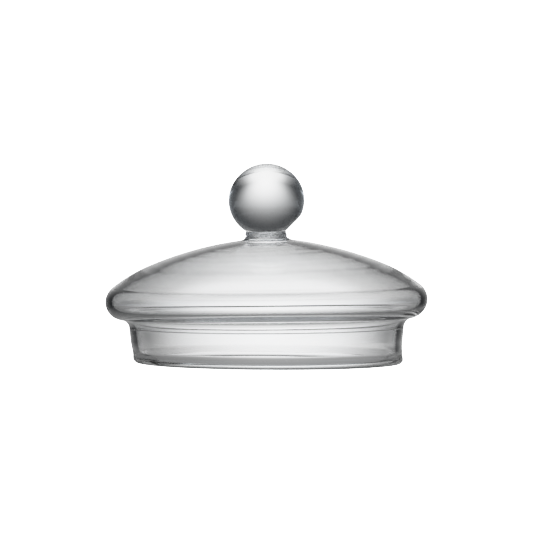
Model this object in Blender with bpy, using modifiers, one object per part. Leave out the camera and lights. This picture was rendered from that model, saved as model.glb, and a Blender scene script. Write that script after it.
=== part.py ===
"""Clear glass cover with a ball knob, a shallow dome, a rolled rim and a locating collar.

Four glass pieces, sealed to each other in the flame on the real object:

    knob_ball         solid ball, gripped with finger and thumb
    knob_neck         short solid stem between the ball and the crown
    dome_shell        blown dome, closed under the neck, with a rolled rim and a seat on its underside
    locating_collar   tapered ring that drops into the mouth of a dish, with a bead round its open end

Metres, +Z up. The origin is on the axis, at the level of the bead's foot. Each piece is a turned
profile, and pieces that are sealed together keep a narrow gap between their solids.
"""

import math

import bpy

MM = 0.001

# Overall
BALL_RADIUS = 12.7 * MM
BALL_CENTRE_Z = 55.3 * MM
RIM_OUTER_RADIUS = 54.9 * MM
WALL = 2.25 * MM
SEAL_GAP = 0.3 * MM

# Knob
BALL_FLAT_Z = 44.75 * MM
NECK_WAIST_RADIUS = 6.8 * MM
NECK_FLARE = 0.25 * MM
NECK_HEIGHT = 2.2 * MM

# Dome, from the crown out to the rolled rim. Slopes are in degrees below the horizontal
CROWN_FLAT_RADIUS = 7.4 * MM
CROWN_FLAT_Z = BALL_FLAT_Z - NECK_HEIGHT - 2 * SEAL_GAP
CROWN_ARC_RADIUS = 125 * MM
SHOULDER_ARC_RADIUS = 52 * MM
CROWN_START_SLOPE, SHOULDER_START_SLOPE, RIM_START_SLOPE = 7.2, 22.0, 38.0
RIM_ARC_RADIUS = 6.3 * MM
RIM_CENTRE = (RIM_OUTER_RADIUS - RIM_ARC_RADIUS, 21.3 * MM)

# Seat: the narrow flat ring under the rim, which rests on the mouth of the dish. The rim's outer arc ends on it.
SEAT_INNER_RADIUS = 48.9 * MM
SEAT_OUTER_RADIUS = 49.8 * MM
SEAT_ARC_ANGLE = math.acos((SEAT_OUTER_RADIUS - RIM_CENTRE[0]) / RIM_ARC_RADIUS)
SEAT_Z = RIM_CENTRE[1] - RIM_ARC_RADIUS * math.sin(SEAT_ARC_ANGLE)

# Inside the glass, the bend into the collar hands over to the rim's inner arc at these angles, in degrees
INNER_BEND_END, INNER_RIM_START = 100, -84

# Collar and the bead round its open end
COLLAR_TOP = (46.85 * MM, 11.9 * MM)
COLLAR_FOOT = (45.9 * MM, 3.4 * MM)
COLLAR_SEAM_Z = 11.6 * MM
BEAD_OUTER_RADIUS = 46.0 * MM
BEAD_INNER_RADIUS = 42.1 * MM
BEAD_HEIGHT = 3.3 * MM
FOOT_INNER_RADIUS = 43.6 * MM
FOOT_OUTER_RADIUS = 44.5 * MM

# Facets
SHELL_STEPS = 64
KNOB_STEPS = 48

GLASS_IOR = 1.47


def arc(centre, radii, start, end, steps):
    """Points of an elliptical arc. Angles are in degrees, from +X towards +Z, and both ends count."""
    points = []
    for i in range(steps + 1):
        angle = math.radians(start + (end - start) * i / steps)
        points.append((centre[0] + radii[0] * math.cos(angle), centre[1] + radii[1] * math.sin(angle)))
    return points


def round_arc(centre, radius, start, end, steps):
    return arc(centre, (radius, radius), start, end, steps)


def arc_centre_below(point, radius, slope):
    """Centre of the arc that passes through the point, falling outwards at this slope."""
    angle = math.radians(90 - slope)
    return point[0] - radius * math.cos(angle), point[1] - radius * math.sin(angle)


def dome_arcs(inset):
    """Crown and shoulder as one smooth run from the crown out, inset into the glass by this much."""
    rim_angle = math.radians(90 - RIM_START_SLOPE)
    rim_start = (
        RIM_CENTRE[0] + RIM_ARC_RADIUS * math.cos(rim_angle),
        RIM_CENTRE[1] + RIM_ARC_RADIUS * math.sin(rim_angle),
    )
    centre = arc_centre_below(rim_start, SHOULDER_ARC_RADIUS, RIM_START_SLOPE)
    turn = (90 - SHOULDER_START_SLOPE, 90 - RIM_START_SLOPE)
    shoulder = round_arc(centre, SHOULDER_ARC_RADIUS - inset, *turn, 4)
    shoulder_start = round_arc(centre, SHOULDER_ARC_RADIUS, *turn, 1)[0]
    centre = arc_centre_below(shoulder_start, CROWN_ARC_RADIUS, SHOULDER_START_SLOPE)
    turn = (90 - CROWN_START_SLOPE, 90 - SHOULDER_START_SLOPE)
    crown = round_arc(centre, CROWN_ARC_RADIUS - inset, *turn, 4)
    return crown[:-1] + shoulder[:-1]


def collar_radius(z):
    """Outer radius of the collar's tapered wall at this height."""
    share = (z - COLLAR_FOOT[1]) / (COLLAR_TOP[1] - COLLAR_FOOT[1])
    return COLLAR_FOOT[0] + share * (COLLAR_TOP[0] - COLLAR_FOOT[0])


def dome_profile():
    rim_start = 90 - RIM_START_SLOPE
    rim_end = -math.degrees(SEAT_ARC_ANGLE)
    outer = [(0.0, CROWN_FLAT_Z), (CROWN_FLAT_RADIUS, CROWN_FLAT_Z)]
    outer += dome_arcs(0.0)
    outer += round_arc(RIM_CENTRE, RIM_ARC_RADIUS, rim_start, rim_end, 12)
    # A concave fillet runs from the seat into the collar.
    fillet_centre = (SEAT_INNER_RADIUS, COLLAR_TOP[1])
    fillet = (SEAT_INNER_RADIUS - COLLAR_TOP[0], SEAT_Z - COLLAR_TOP[1])
    outer += arc(fillet_centre, fillet, 90, 180, 4)
    outer.append((collar_radius(COLLAR_SEAM_Z), COLLAR_SEAM_Z))

    inner = [(collar_radius(COLLAR_SEAM_Z) - WALL, COLLAR_SEAM_Z)]
    inner += arc(fillet_centre, (fillet[0] + WALL, fillet[1] + WALL), 180, INNER_BEND_END, 4)
    inner += round_arc(RIM_CENTRE, RIM_ARC_RADIUS - WALL, INNER_RIM_START, rim_start, 9)
    inner += reversed(dome_arcs(WALL))
    inner.append((0.0, CROWN_FLAT_Z - WALL))
    return outer + inner, False


def collar_profile():
    """A closed outline: the collar's outer wall, the bead, and back up the inner wall."""
    top = COLLAR_SEAM_Z - SEAL_GAP
    bead_middle = BEAD_HEIGHT / 2
    outline = [(collar_radius(top), top), COLLAR_FOOT]
    outline += arc(
        (FOOT_OUTER_RADIUS, bead_middle), (BEAD_OUTER_RADIUS - FOOT_OUTER_RADIUS, bead_middle), 15, -90, 5
    )
    outline += arc(
        (FOOT_INNER_RADIUS, bead_middle), (FOOT_INNER_RADIUS - BEAD_INNER_RADIUS, bead_middle), -90, -225, 6
    )
    outline += [(COLLAR_FOOT[0] - WALL, BEAD_HEIGHT + 0.8 * MM), (collar_radius(top) - WALL, top)]
    return outline, True


def neck_profile():
    top = BALL_FLAT_Z - SEAL_GAP
    end_radius = NECK_WAIST_RADIUS + NECK_FLARE
    middle = (end_radius, top - NECK_HEIGHT / 2)
    outline = [(0.0, top)]
    outline += arc(middle, (NECK_FLARE, NECK_HEIGHT / 2), 90, 270, 6)
    outline.append((0.0, top - NECK_HEIGHT))
    return outline, False


def ball_profile():
    flat_angle = math.degrees(math.asin((BALL_FLAT_Z - BALL_CENTRE_Z) / BALL_RADIUS))
    outline = round_arc((0.0, BALL_CENTRE_Z), BALL_RADIUS, 90, flat_angle, 20)
    outline[0] = (0.0, outline[0][1])
    outline.append((0.0, BALL_FLAT_Z))
    return outline, False


def glass_material(name, colour, roughness):
    material = bpy.data.materials.new(name)
    material.use_nodes = True
    shader = material.node_tree.nodes["Principled BSDF"]
    shader.inputs["Base Color"].default_value = (*colour, 1.0)
    shader.inputs["Roughness"].default_value = roughness
    shader.inputs["Metallic"].default_value = 0.0
    shader.inputs["IOR"].default_value = GLASS_IOR
    shader.inputs["Transmission Weight"].default_value = 1.0
    return material


def turned_piece(name, profile, steps, material, collection, parent):
    """A profile in the XZ plane, turned round Z. Its outer side runs from the top down."""
    points, is_ring = profile
    edges = [(i, i + 1) for i in range(len(points) - 1)]
    if is_ring:
        edges.append((len(points) - 1, 0))
    mesh = bpy.data.meshes.new(name)
    mesh.from_pydata([(x, 0.0, z) for x, z in points], edges, [])
    piece = bpy.data.objects.new(name, mesh)
    collection.objects.link(piece)
    piece.parent = parent
    screw = piece.modifiers.new("Turn", "SCREW")
    screw.axis = "Z"
    screw.angle = math.radians(360)
    screw.steps = steps
    screw.render_steps = steps
    screw.use_merge_vertices = True
    screw.merge_threshold = 0.00001
    screw.use_smooth_shade = True
    mesh.materials.append(material)
    return piece


def main():
    for leftover in list(bpy.data.objects):
        bpy.data.objects.remove(leftover)
    cover = bpy.data.collections.new("glass_cover")
    bpy.context.scene.collection.children.link(cover)
    base = bpy.data.objects.new("cover_base", None)
    cover.objects.link(base)

    turned_piece("knob_ball", ball_profile(), KNOB_STEPS,
                 glass_material("knob_glass", (0.95, 0.97, 0.98), 0.02), cover, base)
    turned_piece("knob_neck", neck_profile(), KNOB_STEPS,
                 glass_material("neck_glass", (0.93, 0.95, 0.96), 0.06), cover, base)
    turned_piece("dome_shell", dome_profile(), SHELL_STEPS,
                 glass_material("dome_glass", (0.96, 0.97, 0.97), 0.02), cover, base)
    turned_piece("locating_collar", collar_profile(), SHELL_STEPS,
                 glass_material("collar_glass", (0.96, 0.97, 0.97), 0.02), cover, base)


main()
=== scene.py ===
"""Looks of the clear glass lid: hand-made glass around the CAD frame. Metres, +Z up, front at -Y."""

import math

import bpy
import numpy as np
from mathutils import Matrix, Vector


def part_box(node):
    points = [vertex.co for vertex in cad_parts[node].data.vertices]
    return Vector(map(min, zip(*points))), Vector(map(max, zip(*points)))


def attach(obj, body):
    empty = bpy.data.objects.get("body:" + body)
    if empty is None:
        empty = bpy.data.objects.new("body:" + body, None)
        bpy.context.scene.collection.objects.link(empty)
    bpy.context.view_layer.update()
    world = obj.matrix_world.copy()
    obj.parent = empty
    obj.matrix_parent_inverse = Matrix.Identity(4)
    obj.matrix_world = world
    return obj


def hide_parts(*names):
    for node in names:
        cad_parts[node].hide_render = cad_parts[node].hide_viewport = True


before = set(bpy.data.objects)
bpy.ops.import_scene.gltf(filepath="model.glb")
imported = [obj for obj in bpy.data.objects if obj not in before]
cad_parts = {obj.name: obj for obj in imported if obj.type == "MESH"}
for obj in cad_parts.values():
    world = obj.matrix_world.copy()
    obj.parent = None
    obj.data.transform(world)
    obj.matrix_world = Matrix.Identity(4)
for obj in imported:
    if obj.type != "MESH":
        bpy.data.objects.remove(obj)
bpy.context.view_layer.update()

MM = 0.001

# ---------------------------------------------------------------- sizes from the frame
ball_low, ball_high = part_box("knob_ball")
neck_low, neck_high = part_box("knob_neck")
dome_low, dome_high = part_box("dome_shell")
collar_low, collar_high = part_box("locating_collar")

BALL_RADIUS = (ball_high[0] - ball_low[0]) / 2
BALL_CENTRE_Z = ball_high[2] - BALL_RADIUS
BALL_FLAT_Z = ball_low[2]
NECK_RADIUS = (neck_high[0] - neck_low[0]) / 2
CROWN_Z = dome_high[2]
RIM_RADIUS = (dome_high[0] - dome_low[0]) / 2
COLLAR_TOP_RADIUS = (collar_high[0] - collar_low[0]) / 2
# The seam between dome and collar lies a little above the CAD's gap.
SEAM_RISE = 0.8 * MM
COLLAR_SEAM_Z = (collar_high[2] + dome_low[2]) / 2 + SEAM_RISE

# ---------------------------------------------------------------- shape of the glass
WALL = 2.25 * MM
# Degrees below the horizontal where each arc of the dome starts.
CROWN_SLOPE, SHOULDER_SLOPE, RIM_SLOPE = 3.6, 22.0, 38.0
CROWN_ARC, SHOULDER_ARC, RIM_ARC, FILLET_ARC = 125 * MM, 52 * MM, 6.3 * MM, 3.2 * MM
RIM_CENTRE = (RIM_RADIUS - RIM_ARC, 21.3 * MM)
# The inside of the crown rises a little towards the axis: a share of the radius, and two heights.
CAP_MIDDLE, CAP_MIDDLE_RISE, CAP_RISE = 0.6, 0.1 * MM, 0.15 * MM

# The collar's wall starts at this many degrees from upright and runs to its foot. The bead at its end
# starts at one height outside and another inside.
COLLAR_TAPER = 5.9
COLLAR_FOOT = (45.9 * MM, 3.4 * MM)
BEAD_OUTER_RADIUS = 46.0 * MM
BEAD_DEPTH = 0.9 * MM
BEAD_MIDDLE_Z = 1.65 * MM
BEAD_OUTSIDE_TOP_Z, BEAD_INSIDE_TOP_Z = 3.6 * MM, 4.0 * MM

# Where two pieces meet there is a hairline gap, with the edges on both sides rounded.
GAP = 0.04 * MM
EDGE = 0.10 * MM
EDGE_CUT = EDGE * 0.3

# The crown fills the CAD's gap under the neck, and rises to it in a fillet that starts just inside the
# neck's side. The neck is a little thinner at its middle, and its corners are cut back by NECK_EDGE.
NECK_FOOT_Z = CROWN_Z + 0.28 * MM
FILLET_START = NECK_RADIUS + 0.1 * MM
CROWN_FILLET = 2.6 * MM
NECK_SIDE = NECK_RADIUS + 0.25 * MM
NECK_WAIST = 0.22 * MM
NECK_EDGE = 0.22 * MM

# Points on each outline: degrees between them on an arc, or how many on a straight stretch.
CROWN_SPACING, SHOULDER_SPACING, RIM_SPACING, FILLET_SPACING = 0.35, 0.8, 2, 3
BALL_SPACING, BEAD_SPACING = 1.5, 6
COLLAR_POINTS, NECK_POINTS = 36, 24
ROUND_STEPS = 256
# Radii, gaps between points and lengths below these count as none.
ON_AXIS, SAME_POINT, NO_LENGTH = 1e-7, 1e-6, 1e-9


def arc(centre, radius, start, end, spacing):
    """Points of an arc, with angles in degrees from +X towards +Z. A pair of radii gives an ellipse."""
    across, up = radius if isinstance(radius, tuple) else (radius, radius)
    steps = max(2, int(math.ceil(abs(end - start) / spacing)))
    angles = np.radians(np.linspace(start, end, steps + 1))
    return np.column_stack([centre[0] + across * np.cos(angles), centre[1] + up * np.sin(angles)])


def joined(*runs):
    """Runs of points end to end, with a point that repeats the one before it dropped."""
    points = np.vstack(runs)
    keep = np.ones(len(points), bool)
    keep[1:] = np.linalg.norm(np.diff(points, axis=0), axis=1) > SAME_POINT
    return points[keep]


def smooth_step(start, end, x):
    """0 at start and 1 at end, which may be the lower of the two."""
    t = np.clip((x - start) / (end - start), 0, 1)
    return t * t * (3 - 2 * t)


def hump(middle, half, x):
    """A smooth hump of 1 at the middle that is 0 beyond half on both sides."""
    return 1 - smooth_step(0, half, np.abs(x - middle))


def centre_below(point, radius, slope):
    """Centre of the arc that passes through the point, falling outwards at this slope."""
    angle = math.radians(90 - slope)
    return point[0] - radius * math.cos(angle), point[1] - radius * math.sin(angle)


def unit_steps(outline):
    """The direction of the outline at each of its points."""
    along = np.gradient(outline, axis=0)
    return along / np.maximum(np.linalg.norm(along, axis=1), NO_LENGTH)[:, None]


def outer_run():
    """The outside of the dome and collar, from the neck's foot down to the middle of the bead."""
    rim_start = arc(RIM_CENTRE, RIM_ARC, 90 - RIM_SLOPE, 0, RIM_SPACING)[0]
    centre = centre_below(rim_start, SHOULDER_ARC, RIM_SLOPE)
    shoulder = arc(centre, SHOULDER_ARC, 90 - SHOULDER_SLOPE, 90 - RIM_SLOPE, SHOULDER_SPACING)
    centre = centre_below(shoulder[0], CROWN_ARC, SHOULDER_SLOPE)
    crown = arc(centre, CROWN_ARC, 90 - CROWN_SLOPE, 90 - SHOULDER_SLOPE, CROWN_SPACING)
    crown = crown[crown[:, 0] > FILLET_START]
    near = np.clip(1 - (crown[:, 0] - NECK_RADIUS) / CROWN_FILLET, 0, 1)
    crown[:, 1] += (NECK_FOOT_Z - crown[0][1]) * near**2
    # The fillet's arc touches the rim's arc from outside, so their centres are both radii apart.
    fillet_x = COLLAR_TOP_RADIUS + FILLET_ARC
    across = fillet_x - RIM_CENTRE[0]
    down = math.sqrt((RIM_ARC + FILLET_ARC) ** 2 - across**2)
    turn = -math.degrees(math.atan2(down, across))
    rim = arc(RIM_CENTRE, RIM_ARC, 90 - RIM_SLOPE, turn, RIM_SPACING)
    centre = (fillet_x, RIM_CENTRE[1] - down)
    fillet = arc(centre, FILLET_ARC, 180 + turn, 180 - COLLAR_TAPER, FILLET_SPACING)
    top, foot = fillet[-1], COLLAR_FOOT
    z = np.linspace(top[1], BEAD_MIDDLE_Z, COLLAR_POINTS)
    wall = foot[0] + (top[0] - foot[0]) * (z - foot[1]) / (top[1] - foot[1])
    wall += smooth_step(BEAD_OUTSIDE_TOP_Z, BEAD_MIDDLE_Z, z) * (BEAD_OUTER_RADIUS - wall)
    return joined(crown, shoulder, rim, fillet, np.column_stack([wall, z]))


def inner_run(outer):
    """The inside, a wall's thickness in from the outside, from the crown down to the middle of the bead."""
    along = unit_steps(outer)
    inwards = np.column_stack([along[:, 1], -along[:, 0]])
    wall = WALL + BEAD_DEPTH * smooth_step(BEAD_INSIDE_TOP_Z, BEAD_MIDDLE_Z, outer[:, 1])
    return outer + inwards * wall[:, None]


def cut_at(run, z):
    """The run above z, the run below it, and the radius at z."""
    last = np.nonzero(run[:, 1] > z)[0][-1]
    share = (run[last][1] - z) / (run[last][1] - run[last + 1][1])
    at = run[last] + (run[last + 1] - run[last]) * share
    return run[: last + 1], run[last + 1 :], at[0]


def rounded_end(r_out, r_in, z, up):
    """Points across a wall's end at a seam, from the outside to the inside, with both edges rounded."""
    return np.array([
        (r_out, z - up * EDGE), (r_out - EDGE_CUT, z - up * EDGE_CUT), (r_out - EDGE, z),
        ((r_out + r_in) / 2, z),
        (r_in + EDGE, z), (r_in + EDGE_CUT, z - up * EDGE_CUT), (r_in, z - up * EDGE),
    ])


def ball_outline():
    flat_angle = math.degrees(math.asin((BALL_FLAT_Z + EDGE - BALL_CENTRE_Z) / BALL_RADIUS))
    points = arc((0.0, BALL_CENTRE_Z), BALL_RADIUS, 90, flat_angle, BALL_SPACING)
    points[0][0] = 0.0
    edge = points[-1][0]
    return joined(points, [(edge - EDGE, BALL_FLAT_Z), (edge / 2, BALL_FLAT_Z), (0.0, BALL_FLAT_Z)])


def neck_outline():
    top, foot = BALL_FLAT_Z - GAP, NECK_FOOT_Z + GAP
    middle, half = (top + foot) / 2, (top - foot) / 2
    z = np.linspace(top - NECK_EDGE, foot + NECK_EDGE, NECK_POINTS)
    side = NECK_SIDE - NECK_WAIST * (1 - ((z - middle) / half) ** 2)
    edge = NECK_SIDE - NECK_EDGE
    return joined([(0.0, top), (edge / 2, top), (edge, top)], np.column_stack([side, z]),
                  [(edge, foot), (edge / 2, foot), (0.0, foot)])


def dome_outline():
    outer = outer_run()
    inner = inner_run(outer)
    seam = COLLAR_SEAM_Z + GAP / 2
    outer, _, outer_radius = cut_at(outer, seam + EDGE)
    inner, _, inner_radius = cut_at(inner, seam + EDGE)
    end = rounded_end(outer_radius, inner_radius, seam, -1)
    first, under = outer[0][0], inner[0]
    crown_top = [(0.0, NECK_FOOT_Z), (first / 2, NECK_FOOT_Z), (first - EDGE, NECK_FOOT_Z)]
    cap = [(under[0] * CAP_MIDDLE, under[1] + CAP_MIDDLE_RISE), (0.0, under[1] + CAP_RISE)]
    return joined(crown_top, outer, end, inner[::-1], cap)


def collar_outline():
    outer = outer_run()
    inner = inner_run(outer)
    seam = COLLAR_SEAM_Z - GAP / 2
    _, outer, outer_radius = cut_at(outer, seam - EDGE)
    _, inner, inner_radius = cut_at(inner, seam - EDGE)
    end = rounded_end(outer_radius, inner_radius, seam, 1)[::-1]
    middle, half = (outer[-1][0] + inner[-1][0]) / 2, (outer[-1][0] - inner[-1][0]) / 2
    foot = arc((middle, BEAD_MIDDLE_Z), (half, BEAD_MIDDLE_Z), 0, -180, BEAD_SPACING)
    return joined(outer, foot, inner[::-1], end)[:-1]


# ---------------------------------------------------------------- marks of the hand
# Each lean, shift or dent has a size, and the heights or places where it starts, is full or ends.
DOME_TILT, DOME_TILT_START, DOME_TILT_FULL = math.radians(0.6), 9 * MM, 18 * MM
RIM_DIP, RIM_DIP_Z, RIM_DIP_HALF = math.radians(1.2), 18 * MM, 14 * MM
FOOT_TILT, FOOT_TILT_FULL, FOOT_TILT_END = math.radians(0.3), 4 * MM, 12 * MM
FOOT_SHIFT, FOOT_SHIFT_END = 0.6 * MM, 8 * MM
CROWN_LIFT, CROWN_LIFT_Z, CROWN_LIFT_HALF = 0.25 * MM, 41 * MM, 12 * MM
BULGE, BULGE_X, BULGE_HALF_X = 0.15 * MM, 12 * MM, 10 * MM
BULGE_Z, BULGE_HALF_Z = 41.5 * MM, 5 * MM
DENT, DENT_FULL_X, DENT_Z, DENT_HALF_Z = 0.9 * MM, 9 * MM, 46.6 * MM, 4.5 * MM
BALL_WIDENING, WIDENING_Z, WIDENING_HALF = 0.022, 58 * MM, 15 * MM

# Rings as (strength, spacing, wander), where wander is waves as (size, times round, turn in radians).
# A ring's place is its radius plus a share, RING_FALL, of its depth below the crown. RIPPLE is the
# height of a ring of strength 1.
RIPPLE = 0.0016 * MM
DOME_RINGS = (
    (1.0, 5.6 * MM, ((1.6, 1, 0.7), (0.8, 2, 0.0))),
    (0.7, 3.7 * MM, ((2.3, 1, -1.1), (1.1, 3, 0.4))),
)
RING_FALL = 0.6
RINGS_START_R, RINGS_FULL_R = 14 * MM, 22 * MM
RINGS_END_Z, RINGS_FULL_Z = 24 * MM, 27 * MM
# Glass gathers inside the rim's underside.
RIM_POOL, RIM_POOL_Z, RIM_POOL_HALF = 0.45 * MM, 16.2 * MM, 4.5 * MM

# The neck's rings as (spacing, wander), and its lobes and slanting threads. They are only on points
# that are at least NECK_SIDE_SHARE of the neck's radius from the axis.
CRINKLE = 0.16 * MM
NECK_RING = (1.35 * MM, ((1.2, 2, 0.5), (0.6, 5, 0.0)))
NECK_LOBES, LOBES_TURN = 3, 0.9
NECK_THREADS, THREADS_TURN, THREADS_SPACING, THREADS_SHARE = 7, 2.0, 1.1 * MM, 0.7
TURNS_SHARE = 0.5
NECK_SIDE_SHARE = 0.9


def hand_made(points):
    """Leans and dents of free-hand work, as one smooth field, so that pieces keep their gaps."""
    x, y, z = points.T.copy()
    high = smooth_step(DOME_TILT_START, DOME_TILT_FULL, z)
    low = 1 - smooth_step(FOOT_TILT_FULL, FOOT_TILT_END, z)
    dip = math.tan(RIM_DIP) * hump(RIM_DIP_Z, RIM_DIP_HALF, z)
    bulge = BULGE * hump(BULGE_Z, BULGE_HALF_Z, z) * hump(BULGE_X, BULGE_HALF_X, x)
    raised = bulge + CROWN_LIFT * hump(CROWN_LIFT_Z, CROWN_LIFT_HALF, z) - low * x * math.tan(FOOT_TILT)
    lifted = z + high * (x * math.tan(DOME_TILT) - y * dip) + raised
    wide = 1 + BALL_WIDENING * hump(WIDENING_Z, WIDENING_HALF, z)
    dent = DENT * hump(DENT_Z, DENT_HALF_Z, z) * smooth_step(0, DENT_FULL_X, x)
    shifted = x * wide + FOOT_SHIFT * (1 - smooth_step(0, FOOT_SHIFT_END, z)) - dent
    return np.column_stack([shifted, y * wide, lifted])


def rings(along, angle, spacing, wander):
    """Waves of this spacing along the outline that wander on their way round."""
    phase = 2 * np.pi * along / spacing
    for size, times, turn in wander:
        phase = phase + size * np.sin(times * angle + turn)
    return np.sin(phase)


def dome_marks(angle, r, z):
    """Slow rings that wander round the dome, and the glass gathered inside the rim at front and back."""
    along = r + (CROWN_Z - z) * RING_FALL
    ripples = sum(strength * rings(along, angle, *shape) for strength, *shape in DOME_RINGS)
    on_dome = smooth_step(RINGS_END_Z, RINGS_FULL_Z, z)
    ripples *= RIPPLE * smooth_step(RINGS_START_R, RINGS_FULL_R, r) * on_dome
    inside = np.hypot(r - RIM_CENTRE[0], z - RIM_CENTRE[1]) < RIM_ARC - WALL / 2
    pool = RIM_POOL * hump(RIM_POOL_Z, RIM_POOL_HALF, z) * np.cos(angle) ** 2
    return ripples + pool * inside


def neck_marks(angle, r, z):
    """Crinkles from the tongs on the neck's side: rings, flat lobes and slanting threads."""
    threads = np.sin(NECK_THREADS * angle + THREADS_TURN + 2 * np.pi * z / THREADS_SPACING)
    turns = np.sin(NECK_LOBES * angle + LOBES_TURN) + THREADS_SHARE * threads
    on_side = r > NECK_RADIUS * NECK_SIDE_SHARE
    return CRINKLE * (rings(z, angle, *NECK_RING) + TURNS_SHARE * turns) * on_side


def no_marks(angle, r, z):
    return np.zeros_like(angle)


def turned(name, outline, closed, marks):
    """A mesh turned round Z from an outline, with marks standing proud of it. Angle 0 is at the front,
    and a point on the axis is one vertex."""
    along = unit_steps(outline)
    proud = np.column_stack([-along[:, 1], along[:, 0]])
    angles = np.linspace(0, 2 * math.pi, ROUND_STEPS, endpoint=False)
    points, first, made = [], [], 0
    for (r, z), out in zip(outline, proud):
        at = angles if r > ON_AXIS else angles[:1]
        push = marks(at, np.full_like(at, r), np.full_like(at, z)) if r > ON_AXIS else np.zeros(1)
        radius = r + out[0] * push
        points.append(np.column_stack([radius * np.sin(at), -radius * np.cos(at), z + out[1] * push]))
        first.append(made)
        made += len(at)
    faces = []
    count = len(outline)
    for i in range(count - 1 + closed):
        j = (i + 1) % count
        a, b = first[i], first[j]
        for k in range(ROUND_STEPS):
            n = (k + 1) % ROUND_STEPS
            if outline[i][0] < ON_AXIS:
                faces.append((a, b + k, b + n))
            elif outline[j][0] < ON_AXIS:
                faces.append((a + k, b, a + n))
            else:
                faces.append((a + k, b + k, b + n, a + n))
    mesh = bpy.data.meshes.new(name)
    mesh.from_pydata(hand_made(np.vstack(points)).tolist(), [], faces)
    mesh.shade_smooth()
    piece = bpy.data.objects.new(name, mesh)
    bpy.context.scene.collection.objects.link(piece)
    return piece


# ---------------------------------------------------------------- shader nodes
def add_node(tree, kind, **settings):
    made = tree.nodes.new(kind)
    for key, value in settings.items():
        setattr(made, key, value)
    return made


def feed(tree, socket, value):
    """Links value to the socket if it is a socket too, and sets it otherwise. A colour is a grey or RGB."""
    if isinstance(value, bpy.types.NodeSocket):
        tree.links.new(value, socket)
    elif socket.type == "RGBA":
        socket.default_value = (*(value if isinstance(value, tuple) else (value,) * 3), 1)
    else:
        socket.default_value = value


def calc(tree, operation, *values):
    """One Math node."""
    made = add_node(tree, "ShaderNodeMath", operation=operation)
    for socket, value in zip(made.inputs, values):
        feed(tree, socket, value)
    return made.outputs[0]


def bell(tree, value, centre, width):
    """A bell curve of 1 at the centre."""
    off = calc(tree, "DIVIDE", calc(tree, "SUBTRACT", value, centre), width)
    return calc(tree, "EXPONENT", calc(tree, "MULTIPLY", calc(tree, "MULTIPLY", off, off), -0.5))


def rise(tree, low, high, value, top=1.0, shape="SMOOTHSTEP"):
    """0 at low and top at high, with an S-shaped rise between unless shape says LINEAR."""
    made = add_node(tree, "ShaderNodeMapRange", interpolation_type=shape)
    for socket, setting in zip(made.inputs, (value, low, high, 0.0, top)):
        feed(tree, socket, setting)
    return made.outputs[0]


def mixed(tree, share, first, second):
    """The colour first where share is 0, and second where it is 1."""
    made = add_node(tree, "ShaderNodeMix", data_type="RGBA")
    # Input 0 of a Mix node is its factor, 6 and 7 are its two colours, and output 2 is the mixed colour.
    for socket, value in zip((made.inputs[0], made.inputs[6], made.inputs[7]), (share, first, second)):
        feed(tree, socket, value)
    return made.outputs[2]


def noise(tree, place, scale, detail):
    made = add_node(tree, "ShaderNodeTexNoise")
    for key, value in (("Vector", place), ("Scale", scale), ("Detail", detail)):
        feed(tree, made.inputs[key], value)
    return made.outputs["Fac"]


def ramp(tree, value, full, stops):
    """A colour ramp through (position, colour) stops, with positions from 0 to full."""
    made = add_node(tree, "ShaderNodeValToRGB")
    tree.links.new(value, made.inputs[0])
    elements = made.color_ramp.elements
    while len(elements) < len(stops):
        elements.new(0.5)
    for element, (position, colour) in zip(elements, stops):
        element.position = position / full
        element.color = (*(colour if isinstance(colour, tuple) else (colour,) * 3), 1.0)
    return made.outputs[0]


def apart(tree, vector):
    """The x, y and z of a vector."""
    made = add_node(tree, "ShaderNodeSeparateXYZ")
    tree.links.new(vector, made.inputs[0])
    return tuple(made.outputs)


def white_to_camera(tree, colour):
    is_camera_ray = add_node(tree, "ShaderNodeLightPath").outputs["Is Camera Ray"]
    return mixed(tree, is_camera_ray, colour, WHITE)


# ---------------------------------------------------------------- glass
GLASS_IOR = 1.47
PALE_TINT = (0.992, 0.991, 0.99)
STREAK_DETAIL = 2.0
HAZE_SCALE, HAZE_DETAIL = 90.0, 3.0
# The haze's noise and the streaks' noise count from the first value and are full at the second.
HAZE_RANGE, TINT_RANGE = (0.45, 0.8), (0.35, 0.65)
# For each slot: how often the streaks' noise repeats in a metre along x, y and z, its relief,
# the most roughness, and the streaks' tint. A high z alone gives level streaks.
FINISHES = {
    "knob_glass": ((45, 45, 45), 0.002 * MM, 0.01, (0.97, 0.98, 0.985)),
    "neck_glass": ((260, 260, 800), 0.25 * MM, 0.03, (0.60, 0.61, 0.62)),
    "dome_glass": ((12, 12, 170), 0.004 * MM, 0.012, (0.975, 0.98, 0.983)),
    "collar_glass": ((14, 14, 90), 0.002 * MM, 0.012, (0.975, 0.98, 0.983)),
}


def glass(name, repeats, relief, haze, deep):
    """Clear glass with a faint relief and tint of streaks, and a fine haze."""
    material = bpy.data.materials.new(name)
    material.use_nodes = True
    tree = material.node_tree
    shader = tree.nodes["Principled BSDF"]
    shader.inputs["IOR"].default_value = GLASS_IOR
    shader.inputs["Transmission Weight"].default_value = 1.0
    place = add_node(tree, "ShaderNodeTexCoord").outputs["Object"]
    stretch = add_node(tree, "ShaderNodeMapping")
    feed(tree, stretch.inputs["Vector"], place)
    feed(tree, stretch.inputs["Scale"], repeats)
    streaks = noise(tree, stretch.outputs[0], 1.0, STREAK_DETAIL)
    bump = add_node(tree, "ShaderNodeBump")
    feed(tree, bump.inputs["Strength"], 1.0)
    feed(tree, bump.inputs["Distance"], relief)
    feed(tree, bump.inputs["Height"], streaks)
    feed(tree, shader.inputs["Normal"], bump.outputs[0])
    fine = noise(tree, place, HAZE_SCALE, HAZE_DETAIL)
    feed(tree, shader.inputs["Roughness"], rise(tree, *HAZE_RANGE, fine, haze, "LINEAR"))
    share = rise(tree, *TINT_RANGE, streaks, 1.0, "LINEAR")
    feed(tree, shader.inputs["Base Color"], mixed(tree, share, PALE_TINT, deep))
    return material


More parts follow.
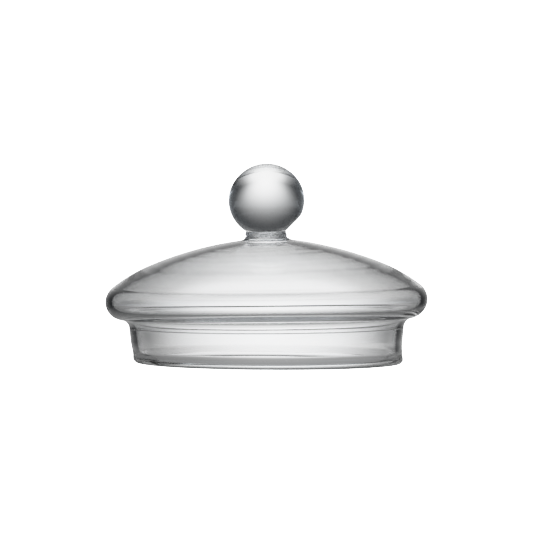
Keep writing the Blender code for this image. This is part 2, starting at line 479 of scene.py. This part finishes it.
for name, outline, closed, marks, node, slot in (
    ("ball_glass", ball_outline(), False, no_marks, "knob_ball", "knob_glass"),
    ("neck_crinkled_glass", neck_outline(), False, neck_marks, "knob_neck", "neck_glass"),
    ("dome_blown_glass", dome_outline(), False, dome_marks, "dome_shell", "dome_glass"),
    ("collar_drawn_glass", collar_outline(), True, no_marks, "locating_collar", "collar_glass"),
):
    piece = turned(name, outline, closed, marks)
    piece.data.materials.append(glass(slot, *FINISHES[slot]))
    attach(piece, "root")
    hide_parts(node)

# ---------------------------------------------------------------- camera
# The lens makes the picture VIEW_WIDTH wide at the lid.
VIEW_WIDTH = 181.5 * MM
CAMERA_DISTANCE = 3.0
CAMERA_ELEVATION = math.radians(2.5)
AIM_Z = 32.9 * MM
SENSOR_WIDTH = 36
NEAREST_SEEN = 0.01

camera = bpy.data.objects.new("camera", bpy.data.cameras.new("camera"))
bpy.context.scene.collection.objects.link(camera)
bpy.context.scene.camera = camera
camera.location = (
    0.0,
    -math.cos(CAMERA_ELEVATION) * CAMERA_DISTANCE,
    AIM_Z + math.sin(CAMERA_ELEVATION) * CAMERA_DISTANCE,
)
camera.rotation_euler = (math.pi / 2 - CAMERA_ELEVATION, 0, 0)
camera.data.sensor_width = SENSOR_WIDTH
camera.data.lens = SENSOR_WIDTH * CAMERA_DISTANCE / VIEW_WIDTH
camera.data.clip_start = NEAREST_SEEN

# ---------------------------------------------------------------- floor and light
# The camera sees a white floor and white all round. The glass sees the shaped light below.
WHITE = 4.0
FLOOR_HALF, FLOOR_Z = 2.0, -0.2 * MM
BACKDROP_Y, BACKDROP_TOP, BACKDROP_HALF = 150 * MM, 170 * MM, 400 * MM

# A glow low on the backdrop, which widens by GLOW_SPREAD up to GLOW_WIDE_Z, and a pool of it on the
# floor, which starts in front of the lid and is full at POOL_END.
GLOW_LIGHT = 1.26
GLOW_MIDDLE, GLOW_WIDTH, GLOW_HEIGHT = 3 * MM, 38 * MM, 48 * MM
GLOW_SPREAD, GLOW_WIDE_Z = 22 * MM, 90 * MM
POOL_WIDTH, POOL_SPREAD = 32 * MM, 0.04
POOL_START, POOL_END = -100 * MM, 105 * MM

# Dim round the lid, with more light on the far floor and at the backdrop's sides. COOL tints it.
DIM_LIGHT, FAR_LIGHT, SIDE_LIGHT = 0.02, 0.8, 0.1
DIM_CENTRE_Y, FAR_START, FAR_END = 110 * MM, 150 * MM, 300 * MM
COOL = (0.92, 0.99, 1.06)

# The world's light as (degrees, colour): up from the horizon behind the lid and in front of it,
# and the share of the front's light, in degrees round from straight behind.
BEHIND_UP = [(0, 0.06), (46, 0.06), (58, 1.3), (75, 0.8), (90, 0.5)]
FRONT_UP = [
    (0, (0.74, 0.8, 0.85)),
    (20, (0.6, 0.65, 0.7)),
    (50, (0.37, 0.4, 0.43)),
    (90, (0.4, 0.43, 0.46)),
]
FRONT_SHARE = [(0, 0.0), (75, 0.0), (110, 1.0), (180, 1.0)]


def light_colour(tree, glow, dim):
    """White glow and cool dim light, added."""
    made = add_node(tree, "ShaderNodeCombineXYZ")
    for socket, tint in zip(made.inputs, COOL):
        tree.links.new(calc(tree, "MULTIPLY_ADD", dim, tint, glow), socket)
    return made.outputs[0]


def floor_light(tree, x, y, _z):
    """A pool of light that brightens towards the back, and a brighter floor farther away."""
    width = calc(tree, "MAXIMUM", calc(tree, "MULTIPLY_ADD", y, POOL_SPREAD, POOL_WIDTH), POOL_WIDTH / 2)
    pool = calc(tree, "MULTIPLY", bell(tree, x, GLOW_MIDDLE, width), rise(tree, POOL_START, POOL_END, y))
    back = calc(tree, "SUBTRACT", y, DIM_CENTRE_Y)
    away = calc(tree, "SQRT", calc(tree, "MULTIPLY_ADD", x, x, calc(tree, "MULTIPLY", back, back)))
    far = rise(tree, FAR_START, FAR_END, away)
    dim = calc(tree, "MULTIPLY_ADD", far, FAR_LIGHT - DIM_LIGHT, DIM_LIGHT)
    return white_to_camera(tree, light_colour(tree, calc(tree, "MULTIPLY", pool, GLOW_LIGHT), dim))


def backdrop_light(tree, x, _y, z):
    """A glow that fades upwards and sideways, and is wider higher up."""
    spread = calc(tree, "MULTIPLY", rise(tree, 0, GLOW_WIDE_Z, z), GLOW_SPREAD)
    width = calc(tree, "ADD", spread, GLOW_WIDTH)
    glow = calc(tree, "MULTIPLY", bell(tree, x, GLOW_MIDDLE, width), bell(tree, z, 0, GLOW_HEIGHT))
    far = rise(tree, FAR_START, FAR_END, calc(tree, "ABSOLUTE", x))
    dim = calc(tree, "MULTIPLY_ADD", far, SIDE_LIGHT - DIM_LIGHT, DIM_LIGHT)
    return light_colour(tree, calc(tree, "MULTIPLY", glow, GLOW_LIGHT), dim)


def stage_sheet(name, corners, light_at):
    """A flat sheet of the studio, whose glow is what light_at builds from the place on it."""
    mesh = bpy.data.meshes.new(name)
    mesh.from_pydata(corners, [], [(0, 1, 2, 3)])
    sheet = bpy.data.objects.new(name, mesh)
    bpy.context.scene.collection.objects.link(sheet)
    material = bpy.data.materials.new(name)
    material.use_nodes = True
    tree = material.node_tree
    tree.nodes.clear()
    place = add_node(tree, "ShaderNodeNewGeometry").outputs["Position"]
    shader = add_node(tree, "ShaderNodeEmission")
    output = add_node(tree, "ShaderNodeOutputMaterial")
    tree.links.new(light_at(tree, *apart(tree, place)), shader.inputs["Color"])
    tree.links.new(shader.outputs[0], output.inputs[0])
    sheet.data.materials.append(material)
    return sheet


def make_world():
    """White to the camera. For the glass, dark low behind, soft light high behind, cool light in front."""
    world = bpy.data.worlds.new("studio")
    bpy.context.scene.world = world
    world.use_nodes = True
    tree = world.node_tree
    tree.nodes.clear()
    x, y, z = apart(tree, add_node(tree, "ShaderNodeTexCoord").outputs["Generated"])
    height = calc(tree, "DIVIDE", calc(tree, "ARCSINE", z), math.pi / 2)
    side = calc(tree, "DIVIDE", calc(tree, "ABSOLUTE", calc(tree, "ARCTAN2", x, y)), math.pi)
    behind, ahead = ramp(tree, height, 90, BEHIND_UP), ramp(tree, height, 90, FRONT_UP)
    studio = mixed(tree, ramp(tree, side, 180, FRONT_SHARE), behind, ahead)
    background = add_node(tree, "ShaderNodeBackground")
    output = add_node(tree, "ShaderNodeOutputWorld")
    tree.links.new(white_to_camera(tree, studio), background.inputs[0])
    tree.links.new(background.outputs[0], output.inputs[0])


# The corners of both sheets in order: left or right, and then near or far, or low or high.
SQUARE = ((-1, -1), (1, -1), (1, 1), (-1, 1))
stage_sheet("floor", [(FLOOR_HALF * u, FLOOR_HALF * v, FLOOR_Z) for u, v in SQUARE], floor_light)
backdrop = stage_sheet(
    "backdrop",
    [(BACKDROP_HALF * u, BACKDROP_Y, BACKDROP_TOP if v > 0 else FLOOR_Z) for u, v in SQUARE],
    backdrop_light,
)
backdrop.visible_camera = False
make_world()

# ---------------------------------------------------------------- tones and light paths
# Pairs of light and how bright it shows. The last is white, and the curve softens the highlights.
TONES = [
    (0.0, 0.0), (0.2, 0.2), (0.4, 0.41), (0.6, 0.62),
    (0.8, 0.77), (1.0, 0.86), (1.5, 0.945), (2.5, 1.0),
]
BRIGHTEST = TONES[-1][0]
MOST_BOUNCES, MOST_GLOSSY_BOUNCES = 32, 16

view = bpy.context.scene.view_settings
view.view_transform = "Standard"
view.use_curve_mapping = True
view.curve_mapping.white_level = (BRIGHTEST,) * 3
# Curves 0 to 2 are red, green and blue, and 3 is all of them together.
tone_curve = view.curve_mapping.curves[3]
for _ in TONES[2:]:
    tone_curve.points.new(0.5, 0.5)
for point, (light, shown) in zip(tone_curve.points, TONES):
    point.location = (light / BRIGHTEST, shown)
view.curve_mapping.update()
bpy.context.scene.cycles.max_bounces = MOST_BOUNCES
bpy.context.scene.cycles.transmission_bounces = MOST_BOUNCES
bpy.context.scene.cycles.glossy_bounces = MOST_GLOSSY_BOUNCES
